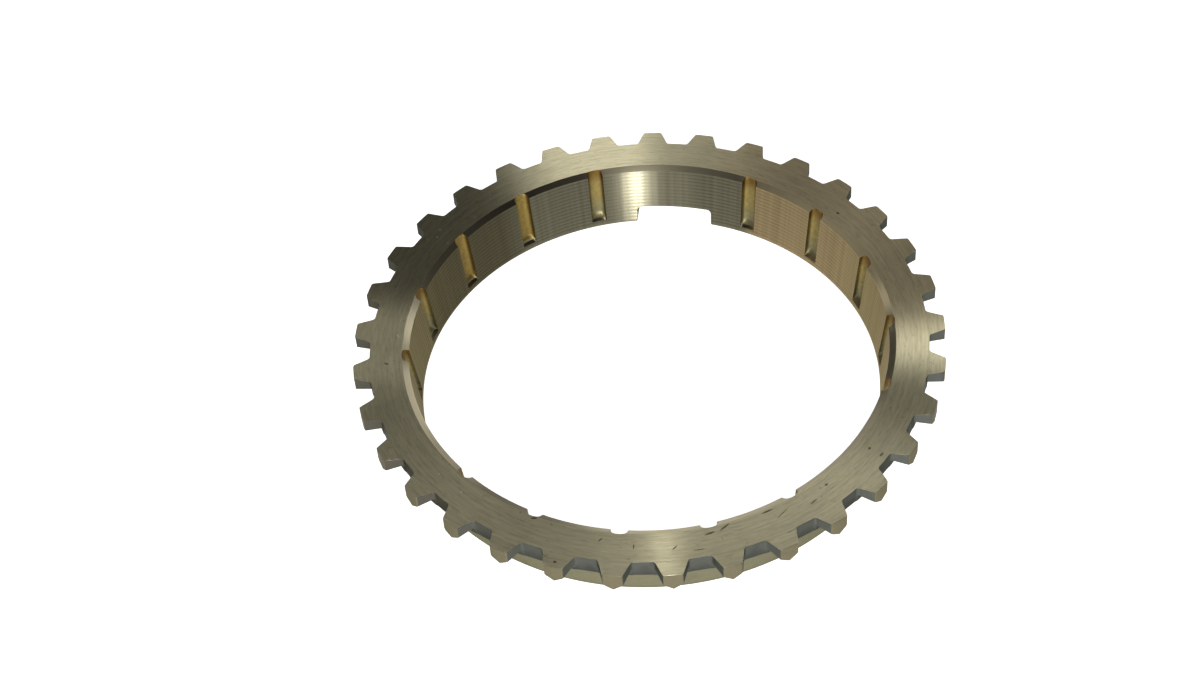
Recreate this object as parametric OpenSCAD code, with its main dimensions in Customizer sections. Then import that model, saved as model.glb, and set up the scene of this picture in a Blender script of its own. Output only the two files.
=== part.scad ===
// Synchronizer ring for a manual gearbox, turned and milled from one brass forging.
// The ring lies on its slotted face with the axis along Z: Z = 0 is the slotted face,
// the flat turned face is on top, and one key slot is centred on +Y. Millimetres and degrees.

/* [Friction cone] */
// Diameter of the cone at its mouth, just under the chamfer
mouth_d = 74.6; // [62:0.2:90]
// Angle between the wall of the cone and the axis
cone_angle = 6.5; // [5:0.25:8]
// Radial width of the chamfer at the mouth
mouth_chamfer_w = 1; // [0.5:0.05:1.4]
// Depth of the chamfer below the turned face
mouth_chamfer_h = 0.5; // [0.3:0.05:1]

/* [Ring] */
// Overall height, from the slotted face to the turned face
ring_h = 11; // [9:0.25:14]
// Wall between the mouth of the cone and the outside of the skirt
skirt_wall = 2.7; // [2:0.1:4]
// Width of the flange's back, from the skirt to the roots of the teeth
land_w = 3.4; // [2:0.1:5]
// Thickness of the toothed flange
flange_t = 3.3; // [2.6:0.1:4]
// Radius of the fillet between flange and skirt
skirt_fillet_r = 0.8; // [0.3:0.1:1.4]
// Broken edges of the slotted face, inside and outside
edge_break = 0.3; // [0.1:0.05:0.6]

/* [Teeth] */
// Number of teeth around the flange
tooth_count = 33; // [27:1:39]
// Height of a tooth from its root to its tip
tooth_h = 2.6; // [2:0.1:3.2]
// Width of a tooth across its tip
tip_w = 2.9; // [2.2:0.1:3.3]
// Angle between a flank and the centre line of its tooth
flank_angle = 21; // [15:0.5:25]
// Radius of the fillet at the root of a tooth
root_fillet_r = 0.5; // [0.3:0.05:0.7]
// Angle between the two faces of the pointed tooth end
point_angle = 110; // [100:1:125]
// Step left between the pointed faces and the root circle
point_stop = 0.1; // [0.05:0.05:0.25]

/* [Key slots] */
// Number of slots in the lower edge, for the sliding keys
slot_count = 3; // [2:1:4]
// Width of a slot
slot_w = 12.4; // [8:0.1:14]
// Depth of a slot above the slotted face
slot_depth = 3.1; // [2:0.1:4.5]
// Radius of the inner corners of a slot
slot_corner_r = 0.65; // [0.3:0.05:1.2]
// Chamfer at the lower corners of a slot
slot_lead = 0.4; // [0.1:0.05:0.8]

/* [Oil grooves] */
// Number of equal steps between two slots, with a groove at each step but the slots
groove_steps = 6; // [4:1:7]
// Width of a groove
groove_w = 2.5; // [1.6:0.1:3.4]
// Depth of a groove, square to the wall of the cone
groove_depth = 1.05; // [0.6:0.05:1.4]
// Height above the slotted face at which a groove runs out
groove_end = 1.25; // [0.8:0.05:2.5]
// Radius of the run-out at the lower end of a groove
groove_end_r = 1.5; // [1.2:0.1:3]

/* [Hidden] */
$fn = 180;

// How far a cutting shape reaches past the face that it leaves
cut_past = 1;
// Direction of the first key slot
slot_start = 90;

mouth_r = mouth_d / 2;
skirt_r = mouth_r + skirt_wall;
root_r = skirt_r + land_w;
tip_r = root_r + tooth_h;
land_z = ring_h - flange_t;

// Radius of the friction cone at a height
function cone_r(z) = mouth_r - (ring_h - mouth_chamfer_h - z) * tan(cone_angle);

tooth_pitch = 360 / tooth_count;
point_slope = 90 - point_angle / 2;
slot_pitch = 360 / slot_count;
groove_pitch = slot_pitch / groove_steps;

// One gap between two teeth, in a plan whose X axis runs out through the middle of the gap.
// The flank line leaves the tip corner inwards; the fillet circle touches it and the root circle.
flank_dir = flank_angle + tooth_pitch / 2;
flank_u = [cos(flank_dir), sin(flank_dir)];
flank_n = [-sin(flank_dir), cos(flank_dir)];
tip_corner_dir = tooth_pitch / 2 - asin(tip_w / 2 / tip_r);
tip_corner = tip_r * [cos(tip_corner_dir), sin(tip_corner_dir)];
fillet_line = tip_corner - root_fillet_r * flank_n;
fillet_ring_r = root_r + root_fillet_r;
fillet_along = fillet_line * flank_u;
fillet_step = sqrt(fillet_along ^ 2 - fillet_line * fillet_line + fillet_ring_r ^ 2) - fillet_along;
fillet_mid = fillet_line + fillet_step * flank_u;
flank_foot = fillet_mid + root_fillet_r * flank_n;
gap_inner = fillet_mid * (root_r - cut_past) / fillet_ring_r;
gap_outer = tip_corner + 2 * cut_past * flank_u;
// Distance of the fillet's centre from the centre line of the tooth beside it
fillet_offset = fillet_ring_r * sin(tooth_pitch / 2 - atan2(fillet_mid.y, fillet_mid.x));

function across(p) = [p.x, -p.y];

module tooth_gap_plan() {
    upper = [gap_outer, flank_foot, fillet_mid, gap_inner];
    lower = [gap_inner, fillet_mid, flank_foot, gap_outer];
    difference() {
        polygon(concat(upper, [for (p = lower) across(p)]));
        circle(r = root_r);
    }
    for (p = [fillet_mid, across(fillet_mid)])
        translate(p)
            circle(r = root_fillet_r);
}

// Everything below the two sloping faces of one tooth end, just outside the root circle.
// It reaches sideways into the open gaps on both sides of the tooth.
module tooth_end_cut() {
    rise = fillet_offset * tan(point_slope);
    difference() {
        translate([0, 0, land_z])
            rotate([90, 0, 90])
                linear_extrude(height = tip_r + cut_past)
                    polygon([
                        [0, 0],
                        [fillet_offset, rise],
                        [fillet_offset, -cut_past],
                        [-fillet_offset, -cut_past],
                        [-fillet_offset, rise]
                    ]);
        translate([0, 0, land_z - 2 * cut_past])
            cylinder(r = root_r + point_stop, h = ring_h);
    }
}

// Half section of the turned blank: cone, chamfer, flange out to the tips, skirt and its fillet
module blank_section() {
    polygon([
        [cone_r(0) + edge_break, 0],
        [skirt_r - edge_break, 0],
        [skirt_r, edge_break],
        [skirt_r, land_z],
        [tip_r, land_z],
        [tip_r, ring_h],
        [mouth_r + mouth_chamfer_w, ring_h],
        [mouth_r, ring_h - mouth_chamfer_h],
        [cone_r(edge_break), edge_break]
    ]);
    difference() {
        translate([skirt_r - cut_past, land_z - skirt_fillet_r])
            square([cut_past + skirt_fillet_r, skirt_fillet_r]);
        translate([skirt_r + skirt_fillet_r, land_z - skirt_fillet_r])
            circle(r = skirt_fillet_r);
    }
}

// One key slot through the wall, with round upper and chamfered lower corners, running out along X
module key_slot() {
    inner_w = slot_w - 2 * slot_corner_r;
    lead_w = slot_w + 2 * (slot_lead + cut_past);
    rotate([90, 0, 90])
        linear_extrude(height = skirt_r + cut_past) {
            translate([-slot_w / 2, -cut_past])
                square([slot_w, slot_depth - slot_corner_r + cut_past]);
            translate([-inner_w / 2, -cut_past])
                square([inner_w, slot_depth + cut_past]);
            polygon([
                [-lead_w / 2, -cut_past],
                [lead_w / 2, -cut_past],
                [slot_w / 2, slot_lead],
                [-slot_w / 2, slot_lead]
            ]);
            for (side = [-1, 1])
                translate([side * inner_w / 2, slot_depth - slot_corner_r])
                    circle(r = slot_corner_r);
        }
}

// One oil groove up the cone along X: its floor follows the wall and runs out in an arc at the foot
module oil_groove() {
    run_out = sqrt(groove_depth * (2 * groove_end_r - groove_depth));
    floor_start = groove_end / cos(cone_angle) + run_out;
    floor_len = ring_h / cos(cone_angle) - floor_start + cut_past;
    translate([cone_r(0), 0, 0])
        rotate([0, cone_angle, 0])
            rotate([90, 0, 0])
                linear_extrude(height = groove_w, center = true) {
                    translate([-cut_past, floor_start])
                        square([cut_past + groove_depth, floor_len]);
                    translate([groove_depth - groove_end_r, floor_start])
                        circle(r = groove_end_r);
                }
}

module synchro_ring() {
    color("darkkhaki")
        difference() {
            rotate_extrude()
                blank_section();
            for (i = [0 : tooth_count - 1])
                rotate(slot_start + i * tooth_pitch) {
                    translate([0, 0, land_z - cut_past])
                        linear_extrude(height = flange_t + 2 * cut_past)
                            tooth_gap_plan();
                    rotate(tooth_pitch / 2)
                        tooth_end_cut();
                }
            for (i = [0 : slot_count - 1])
                rotate(slot_start + i * slot_pitch) {
                    key_slot();
                    for (step = [1 : groove_steps - 1])
                        rotate(step * groove_pitch)
                            oil_groove();
                }
        }
}

synchro_ring();
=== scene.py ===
"""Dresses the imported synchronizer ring: one brass mesh with its threaded cone, finishes and a studio.

The ring lies on its slotted face round the Z axis, in metres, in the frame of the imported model.
Angles are measured round Z from +X, and one key slot is centred on +Y.
"""

import math
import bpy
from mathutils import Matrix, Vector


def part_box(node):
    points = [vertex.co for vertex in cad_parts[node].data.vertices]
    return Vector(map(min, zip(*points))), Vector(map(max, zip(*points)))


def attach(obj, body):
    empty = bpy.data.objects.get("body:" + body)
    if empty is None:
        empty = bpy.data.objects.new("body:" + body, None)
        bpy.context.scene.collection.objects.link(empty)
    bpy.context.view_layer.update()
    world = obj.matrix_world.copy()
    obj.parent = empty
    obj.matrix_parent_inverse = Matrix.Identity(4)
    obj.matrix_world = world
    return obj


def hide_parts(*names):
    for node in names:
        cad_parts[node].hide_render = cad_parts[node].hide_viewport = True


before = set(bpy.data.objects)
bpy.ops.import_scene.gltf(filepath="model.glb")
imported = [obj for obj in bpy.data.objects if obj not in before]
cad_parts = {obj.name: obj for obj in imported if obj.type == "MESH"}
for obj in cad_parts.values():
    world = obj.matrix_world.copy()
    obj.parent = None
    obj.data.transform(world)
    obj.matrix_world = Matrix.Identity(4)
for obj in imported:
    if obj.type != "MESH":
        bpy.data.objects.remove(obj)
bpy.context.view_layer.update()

from types import SimpleNamespace

import bpy
import numpy as np
from bpy.props import FloatProperty, FloatVectorProperty, IntProperty, PointerProperty
from mathutils import Matrix, Vector

bl_info = {
    "name": "Synchronizer ring",
    "version": (1, 0, 0),
    "blender": (4, 5, 0),
    "location": "View3D > Sidebar > Synchro ring",
    "description": "Builds the brass ring with its threaded cone, its finishes and a studio",
    "category": "Object",
}

MM = 0.001
RING_LOW, RING_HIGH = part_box("synchro_ring")

# Direction of the first key slot and of the first tooth gap
SLOT_START = math.radians(90)
# Seed of the small wear that each tooth corner has of its own
WEAR_SEED = 7
# Columns stand this far before and after the tip corner of a tooth
BEFORE_CORNER, AFTER_CORNER = math.radians(0.25), math.radians(0.35)
# Points on the quarter arc of a slot's corner
CORNER_POINTS = 5
# Points on the quarter arc of the fillet between flange and skirt
FILLET_POINTS = 5
# Columns across half a groove, as shares of its half width
GROOVE_COLUMNS = np.array([0, 0.3, 0.6, 0.82, 0.94, 0.985, 1])
# Where the straightening of slot and groove sides has faded out, as a multiple of their half angle
SLOT_FADE, GROOVE_FADE = 1.7, 1.8
# Small angle that keeps the outermost columns of a cut inside it
EDGE_MARGIN = 1e-9
# Decimals of a metre to which points are equal
MERGE_DIGITS = 9
# Edges are sharp past this angle
SHARP_ANGLE = math.radians(50)
# Half the width of the floor in metres
FLOOR_HALF = 3.0


def length(name, description, default):
    """A size in metres, shown in the scene's own units."""
    return FloatProperty(name=name, description=description, default=default, unit="LENGTH", precision=5)


def angle(name, description, degrees):
    """An angle, written in degrees and kept in radians."""
    return FloatProperty(name=name, description=description, default=math.radians(degrees), subtype="ANGLE")


def colour(name, description, default):
    """A linear colour."""
    return FloatVectorProperty(name=name, description=description, default=default, size=3,
                               subtype="COLOR", min=0, max=1)


def location(name, description, default):
    """A place in metres."""
    return FloatVectorProperty(name=name, description=description, default=default, size=3,
                               subtype="TRANSLATION", unit="LENGTH")


class RingSizes(bpy.types.PropertyGroup):
    """Turned form of the ring: flange, skirt and cone."""

    tip_r: length("Tip radius", "Radius over the tips of the teeth", -RING_LOW.y)
    height: length("Height", "Height from the slotted face to the turned face", RING_HIGH.z - RING_LOW.z)
    flange: length("Flange", "Thickness of the toothed flange", 3.3 * MM)
    skirt_r: length("Skirt radius", "Outside radius of the skirt under the flange", 40 * MM)
    skirt_fillet: length("Skirt fillet", "Radius of the fillet between flange and skirt", 0.8 * MM)
    edge_break: length("Edge break", "Broken edges of the slotted face", 0.3 * MM)
    soft_edge: length("Soft edge", "Rounding of the turned and milled edges", 0.025 * MM)
    mouth_r: length("Mouth radius", "Radius of the cone just under its chamfer", 37.3 * MM)
    cone: angle("Cone angle", "Angle between the wall of the cone and the axis", 6.5)
    chamfer_w: length("Chamfer width", "Radial width of the chamfer at the mouth", 1 * MM)
    chamfer_h: length("Chamfer depth", "Depth of the chamfer below the turned face", 0.5 * MM)
    thread_pitch: length("Thread pitch", "Distance between two thread crests along the axis", 0.69 * MM)
    thread_depth: length("Thread depth", "Depth of the thread behind the cone", 0.04 * MM)
    thread_crest: length("Thread crest", "Width of the flat crest of the thread", 0.3 * MM)
    thread_start: length("Thread start", "Height at which the thread begins", 0.84 * MM)


class ToothSizes(bpy.types.PropertyGroup):
    """Teeth round the flange."""

    count: IntProperty(name="Teeth", description="Number of teeth round the flange", default=33, min=3)
    depth: length("Tooth height", "Height of a tooth from its root to its tip", 2.6 * MM)
    tip_w: length("Tip width", "Width of a tooth across its tip", 2.9 * MM)
    flank: angle("Flank angle", "Angle between a flank and the centre line of its tooth", 21)
    root_fillet: length("Root fillet", "Radius of the fillet at the root of a tooth", 0.5 * MM)
    point: angle("Point angle", "Angle between the two faces of the pointed tooth end", 110)
    point_stop: length("Point stop", "Step between the pointed faces and the root circle", 0.1 * MM)
    root_round: length("Root rounding", "Rounding of the lower edge of the root circle", 0.4 * MM)
    corner_wear: length("Corner wear", "Deepest rounding of the worn tip corners", 0.5 * MM)
    tip_wear: length("Tip wear", "Most that a worn tip loses", 0.05 * MM)


class CutSizes(bpy.types.PropertyGroup):
    """Key slots in the lower edge and oil grooves in the cone."""

    slots: IntProperty(name="Slots", description="Number of key slots", default=3, min=1)
    slot_w: length("Slot width", "Width of a key slot", 12.4 * MM)
    slot_depth: length("Slot depth", "Depth of a slot above the slotted face", 3.1 * MM)
    slot_corner: length("Slot corner", "Radius of the upper corners of a slot", 0.65 * MM)
    slot_lead: length("Slot lead", "Rounding of the lower corners of a slot", 0.4 * MM)
    groove_steps: IntProperty(name="Groove steps", default=6, min=2,
                              description="Equal steps between two slots, with a groove at each but the slots")
    groove_w: length("Groove width", "Width of an oil groove", 2.5 * MM)
    groove_depth: length("Groove depth", "Depth of a groove, square to the cone", 1.05 * MM)
    groove_end: length("Groove end", "Height at which a groove runs out", 1.25 * MM)
    groove_end_r: length("Groove run-out", "Radius of the run-out at the foot of a groove", 1.5 * MM)


class FinishColours(bpy.types.PropertyGroup):
    """Colours of the brass as each tool and wear left it."""

    turned: colour("Turned face", "Bright turned brass of the top face", (0.60, 0.55, 0.36))
    cone: colour("Cone", "Worn thread of the friction cone", (0.16, 0.15, 0.103))
    groove: colour("Groove", "Golden floor of the oil grooves", (0.238, 0.184, 0.065))
    root: colour("Root", "Dark film between the teeth", (0.104, 0.109, 0.095))
    skirt: colour("Skirt", "Dull skirt and slotted face", (0.195, 0.185, 0.121))
    tip: colour("Tip", "Dull tips of the teeth", (0.182, 0.162, 0.104))
    chamfer: colour("Chamfer", "Pale chamfer at the mouth", (0.32, 0.285, 0.195))


class StudioSettings(bpy.types.PropertyGroup):
    """Camera, floor and lamps."""

    camera_place: location("Camera place", "Where the camera stands", (39.2895 * MM, -249.3621 * MM, 292.0817 * MM))
    camera_aim: location("Camera aim", "Point that the camera looks at", (-7.4452 * MM, -0.6085 * MM, 11 * MM))
    roll: angle("Camera roll", "Turn of the camera about its line of sight", 4.653)
    lens: FloatProperty(name="Lens", description="Focal length in millimetres on a 36 mm sensor", default=72.972)
    world: FloatProperty(name="World", description="Strength of the even light from all round", default=0.03, min=0)
    floor: colour("Floor", "Colour of the floor", (0.9, 0.9, 0.9))


def soft_min(a, b, reach):
    """The smaller of two values, blended over a reach where they cross."""
    share = np.clip(0.5 + 0.5 * (b - a) / reach, 0, 1)
    return b + (a - b) * share - reach * share * (1 - share)


def turn_from(centres, angles):
    """Angles measured from the nearest of some evenly spread centres, and the index of that centre."""
    pitch = 2 * np.pi / len(centres)
    index = np.round((angles - centres[0]) / pitch).astype(int)
    return angles - centres[0] - index * pitch, index % len(centres)


def ring_form(ring, teeth, cuts):
    """Values that several surfaces share, worked out from the sizes.

    A tooth gap is described from its own middle: the flank is a straight line through the tip corner,
    and the root fillet is a circle that touches that line and the root circle.
    """
    pitch = 2 * math.pi / teeth.count
    root_r = ring.tip_r - teeth.depth
    flank_dir = teeth.flank + pitch / 2
    along = np.array([math.cos(flank_dir), math.sin(flank_dir)])
    across = np.array([-along[1], along[0]])
    corner = pitch / 2 - math.asin(teeth.tip_w / 2 / ring.tip_r)
    start = ring.tip_r * np.array([math.cos(corner), math.sin(corner)]) - teeth.root_fillet * across
    fillet_ring = root_r + teeth.root_fillet
    reach = start @ along
    middle = start + (math.sqrt(reach ** 2 - start @ start + fillet_ring ** 2) - reach) * along
    foot = middle + teeth.root_fillet * across
    slot_pitch = 2 * math.pi / cuts.slots
    slot_centres = SLOT_START + slot_pitch * np.arange(cuts.slots)
    steps = np.arange(1, cuts.groove_steps) / cuts.groove_steps
    return SimpleNamespace(
        pitch=pitch, root_r=root_r, flank_dir=flank_dir, corner=corner, fillet_ring=fillet_ring,
        fillet_dir=math.atan2(middle[1], middle[0]), foot_dir=math.atan2(foot[1], foot[0]),
        land=ring.height - ring.flange, point_slope=math.tan(math.pi / 2 - teeth.point / 2),
        slot_centres=slot_centres,
        groove_centres=(slot_centres[:, None] + slot_pitch * steps).ravel(),
        cone_top=ring.height - ring.chamfer_h,
    )


def tooth_outline(angles, ring, teeth, form):
    """Outer radius at each angle: root circle, fillet, straight flank and tip circle.

    In polar form about the axis a circle of radius f centred at distance d reads
    d cos(t) - sqrt(f^2 - d^2 sin(t)^2), and a line through a point at radius R and angle c with
    direction g reads R sin(g - c) / sin(g - t). Each corner has its own small wear.
    """
    gap_centres = SLOT_START + form.pitch * np.arange(teeth.count)
    turn, gap = turn_from(gap_centres, angles)
    side = (turn > 0).astype(int)
    wear = np.random.default_rng(WEAR_SEED).uniform(0, 1, (2, teeth.count, 2)) ** 2
    corner_round = teeth.corner_wear * (0.3 + 0.7 * wear[0, gap, side])
    tip_r = ring.tip_r - teeth.tip_wear * wear[1, (gap + side - 1) % teeth.count, 0]
    turn = np.abs(turn)
    bend = np.clip(turn, form.fillet_dir, form.foot_dir) - form.fillet_dir
    swing = form.fillet_ring * np.sin(bend)
    fillet = form.fillet_ring * np.cos(bend) - np.sqrt(teeth.root_fillet ** 2 - swing ** 2)
    on_flank = np.clip(turn, form.foot_dir, form.pitch / 2)
    flank = ring.tip_r * math.sin(form.flank_dir - form.corner) / np.sin(form.flank_dir - on_flank)
    return np.where(turn < form.foot_dir, fillet, soft_min(flank, tip_r, corner_round))


def thread_profile(ring, form):
    """Heights and radii up the cone: flat crests on the cone, with V cuts of even pitch behind it."""
    count = round((form.cone_top - ring.thread_start) / ring.thread_pitch)
    starts = ring.thread_start + ring.thread_pitch * np.arange(count)
    valley = (ring.thread_pitch - ring.thread_crest) / 2
    heights = (starts[:, None] + [0, valley, 2 * valley]).ravel()
    depths = np.tile([0, ring.thread_depth, 0], count)
    heights = np.concatenate([[ring.edge_break], heights, [form.cone_top]])
    depths = np.concatenate([[0], depths, [0]])
    return heights, ring.mouth_r - (form.cone_top - heights) * math.tan(ring.cone) + depths


def slot_level(offset, cuts):
    """Height of the lower edge at a distance from the middle of a slot.

    Inside the slot it is the ceiling with its round corners, and outside it is the rounded lead
    that falls to the slotted face.
    """
    half = cuts.slot_w / 2
    into_corner = np.clip(np.abs(offset) - half + cuts.slot_corner, 0, cuts.slot_corner)
    ceiling = cuts.slot_depth - cuts.slot_corner + np.sqrt(cuts.slot_corner ** 2 - into_corner ** 2)
    off_lead = np.clip(half + cuts.slot_lead - np.abs(offset), 0, cuts.slot_lead)
    lead = cuts.slot_lead - np.sqrt(cuts.slot_lead ** 2 - off_lead ** 2)
    return np.where(np.abs(offset) < half, ceiling, lead)


def ring_columns(ring, teeth, cuts, form, heights):
    """Angle, lower level and share of groove depth of every column of the grid, in order round the ring.

    Columns stand close where an outline bends. The wall of a slot, square to the ring, is several columns at
    one angle whose lower levels step down the wall.
    """
    half_gap = np.array([0, form.fillet_dir, (form.fillet_dir + form.foot_dir) / 2, form.foot_dir,
                         (form.foot_dir + form.corner) / 2, form.corner - BEFORE_CORNER, form.corner,
                         form.corner + AFTER_CORNER, form.pitch / 2])
    gap = np.concatenate([-half_gap[-2:0:-1], half_gap])
    gap_centres = SLOT_START + form.pitch * np.arange(teeth.count)
    plain = (gap_centres[:, None] + gap).ravel()

    half = cuts.slot_w / 2
    arc = np.sin(np.linspace(0, np.pi / 2, CORNER_POINTS))
    wall_levels = heights[(heights > cuts.slot_lead) & (heights < cuts.slot_depth - cuts.slot_corner)][::-1]
    wall_levels = np.concatenate([[cuts.slot_depth - cuts.slot_corner], wall_levels, [cuts.slot_lead]])
    inside = half - cuts.slot_corner * (1 - arc[:-1])
    lead = half + cuts.slot_lead * (1 - arc[::-1][1:])
    offsets = np.concatenate([inside, np.full(len(wall_levels), half), lead])
    levels = np.concatenate([slot_level(inside, cuts), wall_levels, slot_level(lead, cuts)])
    slot_angles = np.arcsin(np.concatenate([-offsets[::-1], offsets]) / ring.skirt_r)
    slot_levels = np.tile(np.concatenate([levels[::-1], levels]), cuts.slots)
    slot_columns = (form.slot_centres[:, None] + slot_angles).ravel()

    groove_reach = math.asin(cuts.groove_w / 2 / groove_floor_top(ring, cuts, form))
    across = np.concatenate([-GROOVE_COLUMNS[:0:-1], GROOVE_COLUMNS])
    groove_columns = (form.groove_centres[:, None] + groove_reach * across).ravel()

    angles = np.concatenate([plain, slot_columns, groove_columns])
    from_slot = turn_from(form.slot_centres, angles)[0]
    from_groove = np.abs(wrap(angles[:, None] - form.groove_centres)).min(axis=1)
    level = slot_level(ring.skirt_r * np.sin(from_slot), cuts)
    level[len(plain):len(plain) + len(slot_columns)] = slot_levels
    share = groove_share(from_groove / groove_reach)
    turn = np.round((angles - SLOT_START) % (2 * np.pi), 9)
    order = np.lexsort((np.arange(len(angles)), turn))
    return angles[order], level[order], share[order]


def wrap(angles):
    """Angles brought between minus and plus half a turn."""
    return (angles + np.pi) % (2 * np.pi) - np.pi


def groove_share(across):
    """Depth across a groove as a share of its middle depth: the curve |x|^3 + |y|^3 = 1, with x from -1 to 1."""
    return np.cbrt(np.round(1 - np.clip(np.abs(across), 0, 1) ** 3, 6))


def groove_floor(heights, ring, cuts, form):
    """Radius of a groove's floor in its middle: parallel to the cone, with an arc that runs out at its foot.

    The arc is a circle that touches the floor and cuts the cone at the groove's end, seen in the section
    whose axes run along and square to the cone.
    """
    lean = math.tan(ring.cone)
    cone = ring.mouth_r - (form.cone_top - heights) * lean
    run_out = math.sqrt(cuts.groove_depth * (2 * cuts.groove_end_r - cuts.groove_depth))
    below = np.clip(cuts.groove_end + run_out - heights, 0, cuts.groove_end_r)
    depth = cuts.groove_depth - cuts.groove_end_r + np.sqrt(cuts.groove_end_r ** 2 - below ** 2)
    return cone + np.maximum(depth, 0) / math.cos(ring.cone)


def groove_floor_top(ring, cuts, form):
    """Radius of a groove's floor where it leaves the turned face."""
    return float(groove_floor(np.array([ring.height]), ring, cuts, form)[0])


ZONES = ["turned", "chamfer", "cone", "groove", "skirt", "root", "tip"]


def ring_rows(angles, level, share, ring, teeth, cuts, form, heights, radii):
    """Radius and height of every row of the section on every column, and the zone of the strip after each row.

    The section runs out over the turned face, down the teeth, in under their pointed ends and the flange,
    down the skirt, in across the slotted face, up the threaded cone and over the chamfer.
    Rows below a slot's level gather on that level. The last row of the cone follows the line where the grooves
    run out through the chamfer.
    """
    outer = tooth_outline(angles, ring, teeth, form)
    tooth_centres = SLOT_START + form.pitch * (np.arange(teeth.count) + 0.5)
    from_tooth = np.abs(np.sin(turn_from(tooth_centres, angles)[0]))
    top, land, soft = ring.height, form.land, ring.soft_edge
    dip = 1 - math.sqrt(0.5)
    rows = []

    def row(zone, radius, height):
        rows.append((zone, radius + 0 * outer, height + 0 * outer))

    lean, spread = math.tan(ring.cone), ring.chamfer_w / ring.chamfer_h
    depth = share * cuts.groove_depth / math.cos(ring.cone)
    cone_at = lambda height: ring.mouth_r + (height - form.cone_top) * lean
    rim = np.maximum(ring.mouth_r + ring.chamfer_w, cone_at(top) + depth)
    hold = soft / 4
    row("turned", rim + soft, top)
    row("turned", rim + soft + hold, top)
    row("turned", (2 * rim + form.root_r) / 3, top)
    row("turned", (rim + 2 * form.root_r) / 3, top)
    row("turned", outer - soft - hold, top)
    row("turned", outer - soft, top)
    row("wall", outer - dip * soft, top - dip * soft)
    row("wall", outer, top - soft)
    row("wall", outer, top - soft - hold)
    stop = np.minimum(outer, form.root_r + teeth.point_stop)
    rise = lambda radius: land + radius * from_tooth * form.point_slope
    row("wall", outer, np.maximum(rise(outer) + hold, land + hold))
    row("skirt", outer, rise(outer))
    row("root", stop, rise(stop))
    bevel = np.minimum(teeth.root_round, stop * from_tooth * form.point_slope)
    row("root", stop, land + bevel)
    row("skirt", stop - dip * bevel, land + dip * bevel)
    row("skirt", stop - bevel, land)
    for turn in np.linspace(0, np.pi / 2, FILLET_POINTS):
        row("skirt", ring.skirt_r + ring.skirt_fillet * (1 - math.sin(turn)),
            land - ring.skirt_fillet * (1 - math.cos(turn)))
    low = heights[heights < cuts.slot_depth]
    row("skirt", ring.skirt_r, (land + cuts.slot_depth) / 2)
    row("skirt", ring.skirt_r, cuts.slot_depth)
    for height in low[::-1]:
        row("skirt", ring.skirt_r, np.maximum(height, level))
    edge = ring.edge_break
    broken = edge * np.clip(1 - level / edge, 0, 1)
    foot = np.interp(np.maximum(level, edge), heights, radii)
    row("skirt", ring.skirt_r - dip * broken, np.maximum(dip * edge, level))
    row("skirt", ring.skirt_r - broken, level)
    for inward in (1 / 3, 2 / 3):
        row("skirt", ring.skirt_r - broken + inward * (foot + 2 * broken - ring.skirt_r), level)
    row("skirt", foot + broken, level)
    row("skirt", foot + dip * broken, np.maximum(dip * edge, level))
    floor = groove_floor(heights, ring, cuts, form)
    for height, radius, deep in zip(heights, radii, floor):
        held = np.maximum(height, level)
        wall = np.where(height < level, np.interp(held, heights, radii), radius)
        row("cone", np.maximum(wall, cone_at(height) + share * (deep - cone_at(height))), held)
    down = soft / spread
    mouth = np.minimum(form.cone_top + depth / (spread - lean), top - down)
    rows[-1] = ("chamfer", cone_at(mouth) + depth, mouth)
    row("chamfer", np.maximum(ring.mouth_r + ring.chamfer_w - soft, cone_at(top - down) + depth), top - down)
    row("turned", np.maximum(ring.mouth_r + ring.chamfer_w, cone_at(top) + depth), top - dip * down)
    zones = [zone for zone, _, _ in rows]
    return zones, np.array([r for _, r, _ in rows]), np.array([z for _, _, z in rows]), outer


def straight_sides(turn, radius, reference, edge, fade):
    """Turns lines at fixed angles into lines parallel to a cut's middle, inside a reference radius.

    A point at angle t on the reference circle keeps its distance R sin(t) from the middle line, so at radius r it
    stands at asin(R sin(t) / r). Past the edge of the cut the shift fades out.
    """
    inner = np.minimum(radius, reference)
    parallel = np.arcsin(np.clip(reference * np.sin(turn) / inner, -1, 1))
    shift = np.arcsin(reference * math.sin(edge) / inner) - edge
    share = np.clip((fade - np.abs(turn)) / (fade - edge), 0, 1)
    return np.where(np.abs(turn) <= edge, parallel - turn, np.sign(turn) * shift * share)


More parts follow.
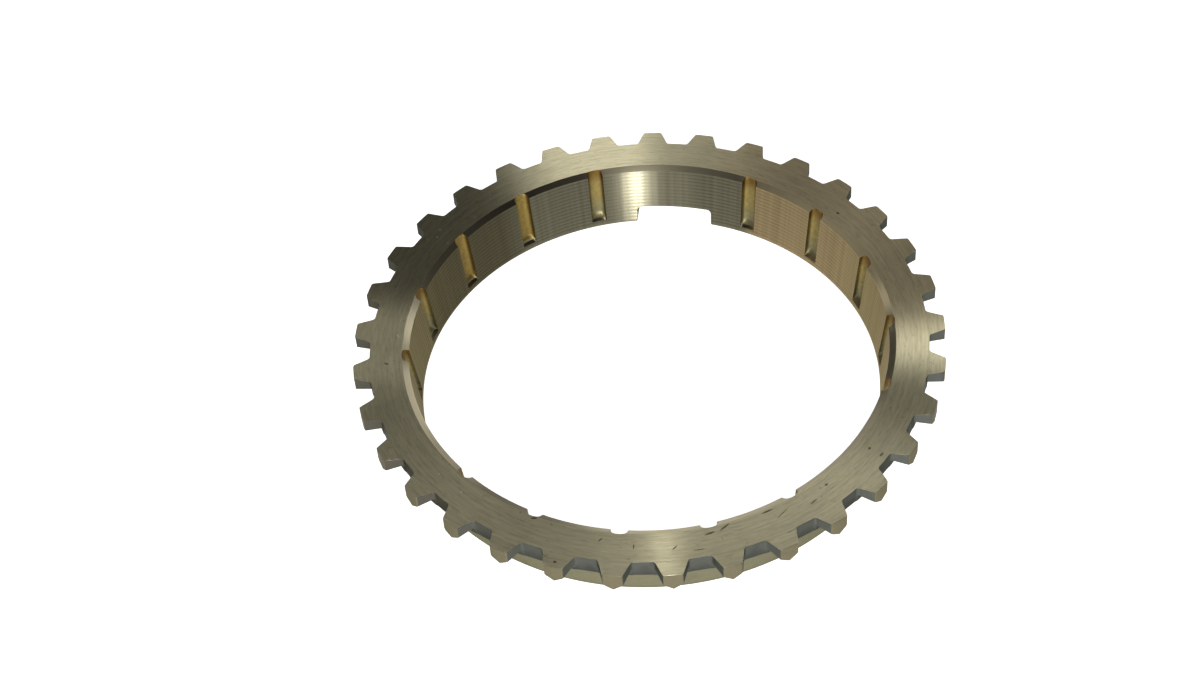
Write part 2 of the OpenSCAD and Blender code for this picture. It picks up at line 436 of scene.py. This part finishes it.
def ring_mesh(ring, teeth, cuts):
    """The whole ring as one closed grid of section rows and angle columns, with equal points merged.

    Each point stands at (r cos a, r sin a, z). Quads that lose a corner become triangles, and those that
    lose two are left out.
    """
    form = ring_form(ring, teeth, cuts)
    heights, radii = thread_profile(ring, form)
    # One more row where the wall of a slot meets its round corner
    wall_top = cuts.slot_depth - cuts.slot_corner
    spot = np.searchsorted(heights, wall_top)
    radii = np.insert(radii, spot, np.interp(wall_top, heights, radii))
    heights = np.insert(heights, spot, wall_top)
    angles, level, share = ring_columns(ring, teeth, cuts, form, heights)
    zones, radius, height, outer = ring_rows(angles, level, share, ring, teeth, cuts, form, heights, radii)

    slot_edge = math.asin((cuts.slot_w / 2 + cuts.slot_lead) / ring.skirt_r) + EDGE_MARGIN
    from_slot = turn_from(form.slot_centres, angles)[0]
    groove_r = groove_floor_top(ring, cuts, form)
    groove_edge = math.asin(cuts.groove_w / 2 / groove_r) + EDGE_MARGIN
    nearest = np.abs(wrap(angles[:, None] - form.groove_centres)).argmin(axis=1)
    from_groove = wrap(angles - form.groove_centres[nearest])
    bent = (angles + straight_sides(from_slot, radius, ring.skirt_r, slot_edge, SLOT_FADE * slot_edge)
            + straight_sides(from_groove, radius, groove_r, groove_edge, GROOVE_FADE * groove_edge))
    points = np.stack([radius * np.cos(bent), radius * np.sin(bent), height], axis=-1)

    row_count, column_count = radius.shape
    merged, place = np.unique(np.round(points.reshape(-1, 3), MERGE_DIGITS), axis=0, return_inverse=True)
    place = place.reshape(row_count, column_count)
    next_row = np.roll(place, -1, axis=0)
    quads = np.stack([place, next_row, np.roll(next_row, -1, axis=1), np.roll(place, -1, axis=1)], axis=-1)

    zone_of = np.array([ZONES.index("tip" if zone == "wall" else zone) for zone in zones])
    zone = np.repeat(zone_of[:, None], column_count, axis=1)
    on_tip = outer > ring.tip_r - teeth.depth / 8
    flank = ~(on_tip & np.roll(on_tip, -1))
    kinds = np.array(zones)[:, None]
    zone[(kinds == "wall") & flank] = ZONES.index("root")
    cut = (share > 0) | (np.roll(share, -1) > 0)
    zone[(kinds == "cone") & cut & (height > cuts.groove_end)] = ZONES.index("groove")
    return merged, quads.reshape(-1, 4), zone.ravel()


def new_ring_object(name, points, quads, zones):
    """An object of one mesh, with doubled corners taken out of its faces and edges sharp past a set angle."""
    same_next = quads == np.roll(quads, -1, axis=1)
    folded = (quads[:, 0] == quads[:, 2]) | (quads[:, 1] == quads[:, 3])
    doubled = same_next.sum(axis=1)
    whole = (doubled == 0) & ~folded
    three = (doubled == 1) & ~folded
    triangles = quads[three][~same_next[three]].reshape(-1, 3)
    mesh = bpy.data.meshes.new(name)
    mesh.from_pydata(points, [], quads[whole].tolist() + triangles.tolist())
    mesh.polygons.foreach_set("material_index", np.concatenate([zones[whole], zones[three]]).astype(np.int32))
    mesh.polygons.foreach_set("use_smooth", np.ones(len(mesh.polygons), bool))
    mesh.set_sharp_from_angle(angle=SHARP_ANGLE)
    mesh.update()
    ring = bpy.data.objects.new(name, mesh)
    bpy.context.scene.collection.objects.link(ring)
    return ring


def feed(tree, socket, value):
    """Links a socket to an input, or sets the input to a number or colour."""
    if isinstance(value, bpy.types.NodeSocket):
        tree.links.new(value, socket)
    elif hasattr(value, "__len__") and len(value) == 3 and socket.type == "RGBA":
        socket.default_value = (*value, 1)
    else:
        socket.default_value = value


def add(tree, kind, inputs=(), **settings):
    """A shader node with its settings, and its inputs by position or by name."""
    node = tree.nodes.new("ShaderNode" + kind)
    for key, value in settings.items():
        setattr(node, key, value)
    for key, value in (inputs.items() if isinstance(inputs, dict) else enumerate(inputs)):
        feed(tree, node.inputs[key], value)
    return node


def calc(tree, operation, *values):
    """The result of one Math node."""
    return add(tree, "Math", values, operation=operation).outputs[0]


def between(tree, value, low, high):
    """A smooth step from 0 at the low value to 1 at the high one."""
    node = add(tree, "MapRange", {"Value": value, "From Min": low, "From Max": high}, interpolation_type="SMOOTHSTEP")
    return node.outputs["Result"]


def blend(tree, share, first, second):
    """A colour that goes from the first to the second with a share."""
    node = add(tree, "Mix", data_type="RGBA")
    feed(tree, node.inputs[0], share)
    feed(tree, node.inputs[6], first)
    feed(tree, node.inputs[7], second)
    return node.outputs[2]


def lerp(tree, share, first, second):
    """A number that goes from the first to the second with a share."""
    return add(tree, "MapRange", {"Value": share, "To Min": first, "To Max": second}).outputs["Result"]


def noise(tree, vector, scale, detail=2.0, roughness=0.5):
    """Even noise over a vector, about one half on average."""
    node = add(tree, "TexNoise", {"Vector": vector, "Scale": scale, "Detail": detail, "Roughness": roughness})
    return node.outputs["Fac"]


def dim(tree, tint, factor):
    """A colour times a number that changes over the surface."""
    return add(tree, "VectorMath", {0: tint, "Scale": factor}, operation="SCALE").outputs[0]


def toward(tree, direction, degrees, far, near):
    """Share of a place that lies near a direction round the ring: 0 past the far angle, 1 inside the near one."""
    ahead = (math.cos(math.radians(degrees)), math.sin(math.radians(degrees)), 0)
    along = add(tree, "VectorMath", [direction, ahead], operation="DOT_PRODUCT").outputs["Value"]
    return between(tree, along, math.cos(math.radians(far)), math.cos(math.radians(near)))


def tint_round(tree, direction, metal, patches):
    """A colour with others blended in round the ring: direction, far and near angle in degrees, colour."""
    for degrees, far, near, tint in patches:
        metal = blend(tree, toward(tree, direction, degrees, far, near), metal, tint)
    return metal


def new_group(name, inputs, outputs):
    """An empty shader group with number inputs and their defaults, and named outputs with their kinds."""
    group = bpy.data.node_groups.new(name, "ShaderNodeTree")
    for label, default in inputs.items():
        group.interface.new_socket(label, in_out="INPUT", socket_type="NodeSocketFloat").default_value = default
    for label, kind in outputs.items():
        group.interface.new_socket(label, in_out="OUTPUT", socket_type="NodeSocket" + kind)
    return group, group.nodes.new("NodeGroupInput").outputs, group.nodes.new("NodeGroupOutput").inputs


def place(tree, name, **values):
    """Outputs of a group placed in a tree with its own values."""
    node = tree.nodes.new("ShaderNodeGroup")
    node.node_tree = bpy.data.node_groups[name]
    for label, value in values.items():
        feed(tree, node.inputs[label], value)
    return node.outputs


def ring_place_group():
    """Place on the ring in millimetres: radius, height, direction as a unit vector, and the point itself."""
    outputs = {"Radius": "Float", "Height": "Float", "Direction": "Vector", "Point": "Vector"}
    group, _, out = new_group("ring_place", {}, outputs)
    coordinates = add(group, "TexCoord").outputs["Object"]
    point = add(group, "VectorMath", {0: coordinates, "Scale": 1 / MM}, operation="SCALE").outputs[0]
    flat = add(group, "VectorMath", [point, (1, 1, 0)], operation="MULTIPLY").outputs[0]
    feed(group, out["Radius"], add(group, "VectorMath", [flat], operation="LENGTH").outputs["Value"])
    feed(group, out["Height"], add(group, "SeparateXYZ", [point]).outputs["Z"])
    feed(group, out["Direction"], add(group, "VectorMath", [flat], operation="NORMALIZE").outputs[0])
    feed(group, out["Point"], point)


def turning_marks_group():
    """Fine rings left by a lathe: noise that changes fast along one coordinate and slowly round the ring."""
    group, given, out = new_group("turning_marks", {"Across": 0, "Lines per mm": 4, "Drift": 1}, {"Marks": "Float"})
    direction = place(group, "ring_place")["Direction"]
    round_part = add(group, "VectorMath", {0: direction, "Scale": given["Drift"]}, operation="SCALE").outputs[0]
    split = add(group, "SeparateXYZ", [round_part]).outputs
    across = calc(group, "MULTIPLY", given["Across"], given["Lines per mm"])
    vector = add(group, "CombineXYZ", [split["X"], split["Y"], across]).outputs[0]
    feed(group, out["Marks"], noise(group, vector, 1, detail=3, roughness=0.65))


def mark_group():
    """One nick or smear: a slanted oval round a place, with an edge that noise breaks up. The slant is in radians."""
    group, given, out = new_group("mark", {"X": 0, "Y": 0, "Along": 1, "Across": 0.2, "Slant": 0}, {"Mark": "Float"})
    point = place(group, "ring_place")["Point"]
    middle = add(group, "CombineXYZ", [given["X"], given["Y"], 0]).outputs[0]
    offset = add(group, "VectorMath", [point, middle], operation="SUBTRACT").outputs[0]
    turned = add(group, "VectorRotate", {"Vector": offset, "Angle": calc(group, "MULTIPLY", given["Slant"], -1)},
                 rotation_type="Z_AXIS").outputs[0]
    split = add(group, "SeparateXYZ", [turned]).outputs
    along = calc(group, "DIVIDE", split["X"], given["Along"])
    across = calc(group, "DIVIDE", split["Y"], given["Across"])
    square = calc(group, "ADD", calc(group, "MULTIPLY", along, along), calc(group, "MULTIPLY", across, across))
    reach = calc(group, "SQRT", square)
    ragged = calc(group, "ADD", reach, calc(group, "MULTIPLY", noise(group, point, 4), 0.8))
    feed(group, out["Mark"], between(group, ragged, 1.6, 0.9))


def stains_group():
    """Patches of tarnish: noise on the point itself, cut off at a cover from 0, none, to 1, all."""
    group, given, out = new_group("stains", {"Patch mm": 4, "Cover": 0.3, "Softness": 0.1}, {"Stain": "Float"})
    point = place(group, "ring_place")["Point"]
    cloud = noise(group, point, calc(group, "DIVIDE", 1, given["Patch mm"]), detail=5, roughness=0.6)
    limit = calc(group, "SUBTRACT", 0.75, calc(group, "MULTIPLY", given["Cover"], 0.5))
    feed(group, out["Stain"], between(group, cloud, limit, calc(group, "ADD", limit, given["Softness"])))


def new_finish(name):
    """A brass material: its tree, its shader and the place on the ring."""
    material = bpy.data.materials.new(name)
    material.use_nodes = True
    tree = material.node_tree
    shader = tree.nodes["Principled BSDF"]
    shader.inputs["Metallic"].default_value = 1
    return material, tree, shader.inputs, place(tree, "ring_place")


def lay_round(tree, shader, amount):
    """Stretches the gloss across marks that run round the ring."""
    shader["Anisotropic"].default_value = amount
    shader["Anisotropic Rotation"].default_value = 0.25
    feed(tree, shader["Tangent"], add(tree, "Tangent", direction_type="RADIAL", axis="Z").outputs[0])


def raise_marks(tree, shader, height, depth):
    """Bump of a height from 0 to 1 that stands a depth in metres."""
    bump = add(tree, "Bump", {"Strength": 1, "Distance": depth, "Height": height})
    feed(tree, shader["Normal"], bump.outputs[0])


# Marks on the turned face: radius in millimetres, angle, length along the ring and width in millimetres, slant
DARK_MARKS = (
    (39.8, 266.4, 0.45, 0.16, 50), (41.1, 281.8, 0.6, 0.14, 40), (45.0, 259.1, 0.3, 0.25, 0),
    (39.5, 289.5, 0.9, 0.2, 10), (39.0, 293.0, 1.1, 0.18, 25), (38.8, 303.0, 1.0, 0.18, 0),
    (40.2, 305.5, 1.4, 0.08, 20), (41.0, 312.5, 0.8, 0.13, 10), (39.8, 317.5, 0.35, 0.22, 0),
    (40.3, 331.0, 0.3, 0.24, 0), (42.4, 331.0, 0.5, 0.2, 0), (38.7, 251.0, 0.6, 0.2, 30),
    (40.8, 192.3, 0.5, 0.16, 60), (44.3, 211.5, 0.9, 0.5, 0), (44.0, 222.5, 0.9, 0.6, 0),
    (40.1, 46.4, 0.35, 0.25, 0), (40.6, 273.5, 0.12, 0.5, 0), (42.0, 286.5, 0.9, 0.1, 0),
)
BRIGHT_MARKS = (
    (39.2, 184.1, 0.5, 0.12, 30), (40.7, 226.6, 0.25, 0.1, 0), (40.6, 233.6, 0.25, 0.12, 0),
    (43.6, 304.5, 0.8, 0.12, 0), (45.2, 217.7, 0.4, 0.16, 0), (41.8, 150.5, 0.2, 0.14, 0),
    (41.2, 152.6, 0.25, 0.16, 20), (38.9, 152.8, 0.2, 0.12, 0), (39.3, 142.4, 0.3, 0.1, 0),
    (41.5, 135.3, 0.18, 0.12, 0), (42.3, 154.2, 0.15, 0.1, 0),
)


def marks_mask(tree, marks):
    """Share of a place that lies inside any of some marks."""
    mask = 0.0
    for radius, turn, along, across, slant in marks:
        turn = math.radians(turn)
        here = place(tree, "mark", X=radius * math.cos(turn), Y=radius * math.sin(turn), Along=along, Across=across,
                     Slant=turn + math.pi / 2 + math.radians(slant))
        mask = calc(tree, "MAXIMUM", here["Mark"], mask)
    return mask


def turned_finish(tint):
    """Lathe-turned face: fine rings, a narrow gloss along them, scuffs, brown tarnish, pits and nicks."""
    material, tree, shader, here = new_finish("turned_brass")
    fine = place(tree, "turning_marks", Across=here["Radius"], **{"Lines per mm": 4, "Drift": 2.5})["Marks"]
    wide = place(tree, "turning_marks", Across=here["Radius"], **{"Lines per mm": 1.6, "Drift": 1.2})["Marks"]
    scuff = place(tree, "turning_marks", Across=here["Radius"], **{"Lines per mm": 3.6, "Drift": 20})["Marks"]
    stain = place(tree, "stains", **{"Patch mm": 5, "Cover": 0.42, "Softness": 0.25})["Stain"]
    speck = place(tree, "stains", **{"Patch mm": 0.8, "Cover": 0.25, "Softness": 0.08})["Stain"]
    film = toward(tree, here["Direction"], 45, 45, 20)
    metal = blend(tree, film, tint, [tint[0], tint[1] * 0.92, tint[2] * 0.86])
    metal = dim(tree, metal, lerp(tree, between(tree, wide, 0.3, 0.7), 0.93, 1.04))
    metal = dim(tree, metal, lerp(tree, between(tree, fine, 0.3, 0.7), 0.92, 1.06))
    metal = blend(tree, calc(tree, "MULTIPLY", stain, 0.35), metal, [tint[0] * 0.8, tint[1] * 0.7, tint[2] * 0.55])
    scuffs = calc(tree, "MULTIPLY", between(tree, scuff, 0.4, 0.8), 0.26)
    pits = calc(tree, "MULTIPLY", speck, 0.3)
    pits = calc(tree, "MAXIMUM", pits, calc(tree, "MULTIPLY", marks_mask(tree, DARK_MARKS), 0.75))
    metal = dim(tree, metal, calc(tree, "SUBTRACT", 1, calc(tree, "MAXIMUM", scuffs, pits)))
    bright = marks_mask(tree, BRIGHT_MARKS)
    feed(tree, shader["Base Color"], blend(tree, bright, metal, [0.8, 0.78, 0.66]))
    smooth = calc(tree, "ADD", lerp(tree, wide, 0.265, 0.295), calc(tree, "MULTIPLY", stain, 0.03))
    feed(tree, shader["Roughness"], lerp(tree, bright, smooth, 0.6))
    raise_marks(tree, shader, calc(tree, "SUBTRACT", 1, pits), 0.005 * MM)
    lay_round(tree, shader, 1)
    return material


def chamfer_finish(tint):
    """Smooth chamfer at the mouth of the cone, with painted reflection lighter and darker round the ring."""
    material, tree, shader, here = new_finish("chamfer_brass")
    marks = place(tree, "turning_marks", Across=here["Height"], **{"Lines per mm": 9, "Drift": 3})["Marks"]
    # Painted reflection round the chamfer: lighter towards 212 and 305 degrees, golden towards 42, darker towards 180
    # and much darker towards 140.
    metal = tint_round(tree, here["Direction"], tint, [
        (212, 26, 12, [2.3 * c for c in tint]), (180, 16, 8, [0.75 * c for c in tint]),
        (140, 32, 27, [0.4 * c for c in tint]), (305, 50, 35, [2.2 * c for c in tint]),
        (42, 32, 24, [0.8, 0.67, 0.41]),
    ])
    feed(tree, shader["Base Color"], dim(tree, metal, lerp(tree, marks, 0.75, 1.15)))
    feed(tree, shader["Roughness"], lerp(tree, marks, 0.29, 0.35))
    lay_round(tree, shader, 0.8)
    return material


def cone_finish(tint, ring):
    """Threaded cone: rubbed crests, dark oil in the valleys, faint upright streaks, and painted reflection round the
    ring, bronze light on the right and dark shade on the left.
    """
    material, tree, shader, here = new_finish("cone_brass")
    lean = math.tan(ring.cone)
    mouth = (ring.mouth_r - (ring.height - ring.chamfer_h) * lean) / MM
    crest = calc(tree, "ADD", calc(tree, "MULTIPLY", here["Height"], lean), mouth)
    depth = calc(tree, "SUBTRACT", here["Radius"], crest)
    valley = between(tree, depth, 0, ring.thread_depth / MM)
    streak = noise(tree, here["Direction"], 55, detail=3)
    # Painted reflection and shade round the cone: bronze light towards 12 and 44 degrees, dark shade towards 154 and
    # 192 degrees.
    metal = tint_round(tree, here["Direction"], tint, [
        (44, 28, 24, [0.31, 0.237, 0.128]), (12, 36, 8, [0.29, 0.238, 0.131]),
        (154, 27, 13, [0.088, 0.079, 0.048]), (192, 21, 19, [0.14, 0.122, 0.07]),
    ])
    metal = dim(tree, metal, lerp(tree, between(tree, streak, 0.3, 0.7), 0.9, 1.08))
    feed(tree, shader["Base Color"], dim(tree, metal, lerp(tree, valley, 1.05, 0.85)))
    feed(tree, shader["Roughness"], lerp(tree, valley, 0.34, 0.4))
    shader["Specular Tint"].default_value = (0.75, 0.68, 0.54, 1)
    lay_round(tree, shader, 1)
    return material


def groove_finish(tint, ring):
    """Cut groove with a golden film, a brown at its mouth that is partly tarnish and partly painted shade of the
    groove's shadowed end, a darker orange tone towards 137 degrees, and a painted pale reflection towards its foot,
    less pale on the left.
    """
    material, tree, shader, here = new_finish("groove_brass")
    rise = calc(tree, "DIVIDE", here["Height"], ring.height / MM)
    grain = noise(tree, here["Point"], 1.6, detail=4)
    metal = blend(tree, between(tree, calc(tree, "ADD", rise, calc(tree, "MULTIPLY", grain, 0.3)), 0.35, 0.75),
                  [0.195, 0.175, 0.092], tint)
    # Brown at the mouth: partly tarnish, partly painted shade where the upper end of the groove lies in shadow.
    metal = blend(tree, between(tree, rise, 0.72, 0.95), metal, [0.15, 0.088, 0.022])
    metal = blend(tree, toward(tree, here["Direction"], 137, 22, 12), metal, [0.21, 0.15, 0.043])
    # Painted reflection at the foot of each groove: a pale tint, less pale on the left of the ring.
    foot = between(tree, here["Height"], 2.0, 1.4)
    painted_pale_foot = blend(tree, toward(tree, here["Direction"], 145, 34, 20), [0.26, 0.215, 0.105], [0.5, 0.44, 0.25])
    metal = blend(tree, foot, metal, painted_pale_foot)
    feed(tree, shader["Base Color"], dim(tree, metal, lerp(tree, grain, 1.2, 0.6)))
    feed(tree, shader["Roughness"], lerp(tree, foot, lerp(tree, grain, 0.35, 0.6), 0.7))
    raise_marks(tree, shader, grain, 0.02 * MM)
    return material


def dull_finish(name, tint, shade, roughness, edge, left=None):
    """Dull brass of the skirt, slotted face, tooth tips and roots, with soft tarnish and a fine grain.

    The shade is the darkness of the tarnish as a share of the tint, the edge is the grey of the grazing
    reflection, and the left is the tint on the left of the ring where that differs, for the roots a painted shade.
    """
    material, tree, shader, here = new_finish(name)
    grain = noise(tree, here["Point"], 5, detail=3)
    stain = place(tree, "stains", **{"Patch mm": 3, "Cover": 0.45, "Softness": 0.3})["Stain"]
    # Towards 200 degrees, the left of the ring, the tint turns to the left colour; for the roots that is painted
    # shade.
    metal = blend(tree, toward(tree, here["Direction"], 200, 50, 20), tint, left or tint)
    metal = dim(tree, metal, lerp(tree, grain, 0.7, 1.25))
    feed(tree, shader["Base Color"], blend(tree, calc(tree, "MULTIPLY", stain, 0.5), metal, [shade * c for c in tint]))
    feed(tree, shader["Roughness"], lerp(tree, grain, roughness - 0.06, roughness + 0.08))
    raise_marks(tree, shader, grain, 0.006 * MM)
    shader["Specular Tint"].default_value = (edge, edge, edge, 1)
    return material


def ring_finishes(colours, ring):
    """The material of each zone, in the order of the zones."""
    made = {
        "turned": turned_finish(tuple(colours.turned)),
        "chamfer": chamfer_finish(tuple(colours.chamfer)),
        "cone": cone_finish(tuple(colours.cone), ring),
        "groove": groove_finish(tuple(colours.groove), ring),
        "skirt": dull_finish("skirt_brass", tuple(colours.skirt), 0.6, 0.42, 0.4),
        # The roots on the left of the ring get a darker, warmer tint: painted shade.
        "root": dull_finish("root_brass", tuple(colours.root), 0.6, 0.38, 0.3, left=(0.096, 0.09, 0.072)),
        "tip": dull_finish("tip_brass", tuple(colours.tip), 0.5, 0.4, 0.4),
    }
    return [made[zone] for zone in ZONES]


class SYNCHRO_OT_ring(bpy.types.Operator):
    """Builds the brass ring in place of its CAD solid."""

    bl_idname = "synchro.ring"
    bl_label = "Build the ring"

    def execute(self, context):
        scene = context.scene
        points, quads, zones = ring_mesh(scene.synchro_ring, scene.synchro_teeth, scene.synchro_cuts)
        ring = new_ring_object("synchro_ring_brass", points, quads, zones)
        for build_group in (ring_place_group, turning_marks_group, mark_group, stains_group):
            build_group()
        for material in ring_finishes(scene.synchro_colours, scene.synchro_ring):
            ring.data.materials.append(material)
        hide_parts("synchro_ring")
        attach(ring, "root")
        return {"FINISHED"}


def floor_material(tint):
    """White floor that shows as white to the camera and in the metal, and still takes a shadow."""
    material = bpy.data.materials.new("pale_floor")
    material.use_nodes = True
    tree = material.node_tree
    tree.nodes.clear()
    rays = add(tree, "LightPath").outputs
    seen = calc(tree, "MAXIMUM", rays["Is Camera Ray"], rays["Is Glossy Ray"])
    shown = calc(tree, "MAXIMUM", seen, rays["Is Transmission Ray"])
    paper = add(tree, "BsdfDiffuse", {"Color": tint})
    glow = add(tree, "Emission", {"Strength": shown})
    both = add(tree, "AddShader", [paper.outputs[0], glow.outputs[0]])
    add(tree, "OutputMaterial", {"Surface": both.outputs[0]})
    return material


def add_camera(studio):
    """The camera at the photograph's place, turned about its line of sight by its roll."""
    stand, aim = Vector(studio.camera_place), Vector(studio.camera_aim)
    ahead = (aim - stand).normalized()
    right = ahead.cross(Vector((0, 0, 1))).normalized()
    up = math.cos(studio.roll) * right.cross(ahead) + math.sin(studio.roll) * right
    turned = Matrix((ahead.cross(up), up, -ahead)).transposed()
    data = bpy.data.cameras.new("camera")
    data.lens = studio.lens
    data.clip_start, data.clip_end = 0.01, 100
    camera = bpy.data.objects.new("camera", data)
    camera.matrix_world = Matrix.Translation(stand) @ turned.to_4x4()
    bpy.context.scene.collection.objects.link(camera)
    bpy.context.scene.camera = camera


# Soft lamps: turn round the ring and rise above the floor, half width and half height as seen from the ring,
# all in degrees, then power in watts; all are white
LAMPS = {
    "back_window": (102.5, 37.5, 2.5, 2.5, 0.11),
    "back_glow": (98.5, 36.0, 6.0, 3.5, 0.07),
    "back_wall": (90.0, 39.0, 8.0, 8.5, 0.075),
    "back_low": (66.0, 19.0, 10.0, 8.0, 0.18),
    "back_horizon": (97.0, 5.0, 27.0, 4.5, 0.21),
    "right_strip": (60.0, 40.0, 1.4, 4.0, 0.32),
    "right_wall": (37.0, 46.0, 24.0, 19.0, 0.2),
    "overhead_soft": (280.0, 85.0, 18.0, 18.0, 0.16),
    "overhead_strip": (279.5, 72.0, 0.7, 8.0, 0.25),
    "front_left_strip": (260.0, 34.0, 0.9, 4.6, 0.4),
    "front_low_strip": (280.0, 10.0, 1.1, 6.0, 6.0),
    "left_high": (170.0, 53.0, 18.0, 14.0, 0.12),
    "left_strip": (135.0, 40.0, 2.0, 4.0, 0.06),
    "left_wall": (190.0, 25.0, 20.0, 13.0, 0.25),
}
LAMP_DISTANCE = 0.7


def add_lamp(name, turn, rise, half_width, half_height, power):
    """A soft rectangular lamp that faces the middle of the ring."""
    data = bpy.data.lights.new(name, "AREA")
    data.shape = "RECTANGLE"
    data.size = 2 * LAMP_DISTANCE * math.tan(math.radians(half_width))
    data.size_y = 2 * LAMP_DISTANCE * math.tan(math.radians(half_height))
    data.energy = power
    lamp = bpy.data.objects.new(name, data)
    turn, rise = math.radians(turn), math.radians(rise)
    out = Vector((math.cos(rise) * math.cos(turn), math.cos(rise) * math.sin(turn), math.sin(rise)))
    lamp.location = out * LAMP_DISTANCE
    lamp.rotation_mode = "QUATERNION"
    lamp.rotation_quaternion = out.to_track_quat("Z", "Y")
    bpy.context.scene.collection.objects.link(lamp)


class SYNCHRO_OT_studio(bpy.types.Operator):
    """Sets up the floor, the lamps, the even light and the camera."""

    bl_idname = "synchro.studio"
    bl_label = "Set up the studio"

    def execute(self, context):
        scene = context.scene
        studio = scene.synchro_studio
        corners = np.array([[-1, -1, 0], [1, -1, 0], [1, 1, 0], [-1, 1, 0]]) * FLOOR_HALF
        mesh = bpy.data.meshes.new("floor")
        mesh.from_pydata(corners, [], [(0, 1, 2, 3)])
        floor = bpy.data.objects.new("floor", mesh)
        scene.collection.objects.link(floor)
        mesh.materials.append(floor_material(studio.floor))
        for name, values in LAMPS.items():
            add_lamp(name, *values)
        world = bpy.data.worlds.new("even_light")
        world.use_nodes = True
        world.node_tree.nodes["Background"].inputs["Strength"].default_value = studio.world
        world.node_tree.nodes["Background"].inputs["Color"].default_value = (1, 1, 1, 1)
        scene.world = world
        scene.view_settings.view_transform = "Standard"
        add_camera(studio)
        return {"FINISHED"}


class SYNCHRO_PT_panel(bpy.types.Panel):
    """Lists the steps that build the ring and its studio."""

    bl_idname = "SYNCHRO_PT_panel"
    bl_label = "Synchro ring"
    bl_space_type = "VIEW_3D"
    bl_region_type = "UI"
    bl_category = "Synchro ring"

    def draw(self, context):
        self.layout.operator(SYNCHRO_OT_ring.bl_idname)
        self.layout.operator(SYNCHRO_OT_studio.bl_idname)


CLASSES = (RingSizes, ToothSizes, CutSizes, FinishColours, StudioSettings,
           SYNCHRO_OT_ring, SYNCHRO_OT_studio, SYNCHRO_PT_panel)
GROUPS = {"synchro_ring": RingSizes, "synchro_teeth": ToothSizes, "synchro_cuts": CutSizes,
          "synchro_colours": FinishColours, "synchro_studio": StudioSettings}


def register():
    for cls in CLASSES:
        bpy.utils.register_class(cls)
    for name, group in GROUPS.items():
        setattr(bpy.types.Scene, name, PointerProperty(type=group))


def unregister():
    for name in GROUPS:
        delattr(bpy.types.Scene, name)
    for cls in reversed(CLASSES):
        bpy.utils.unregister_class(cls)


def main():
    register()
    bpy.ops.synchro.ring()
    bpy.ops.synchro.studio()


if __name__ == "__main__":
    main()
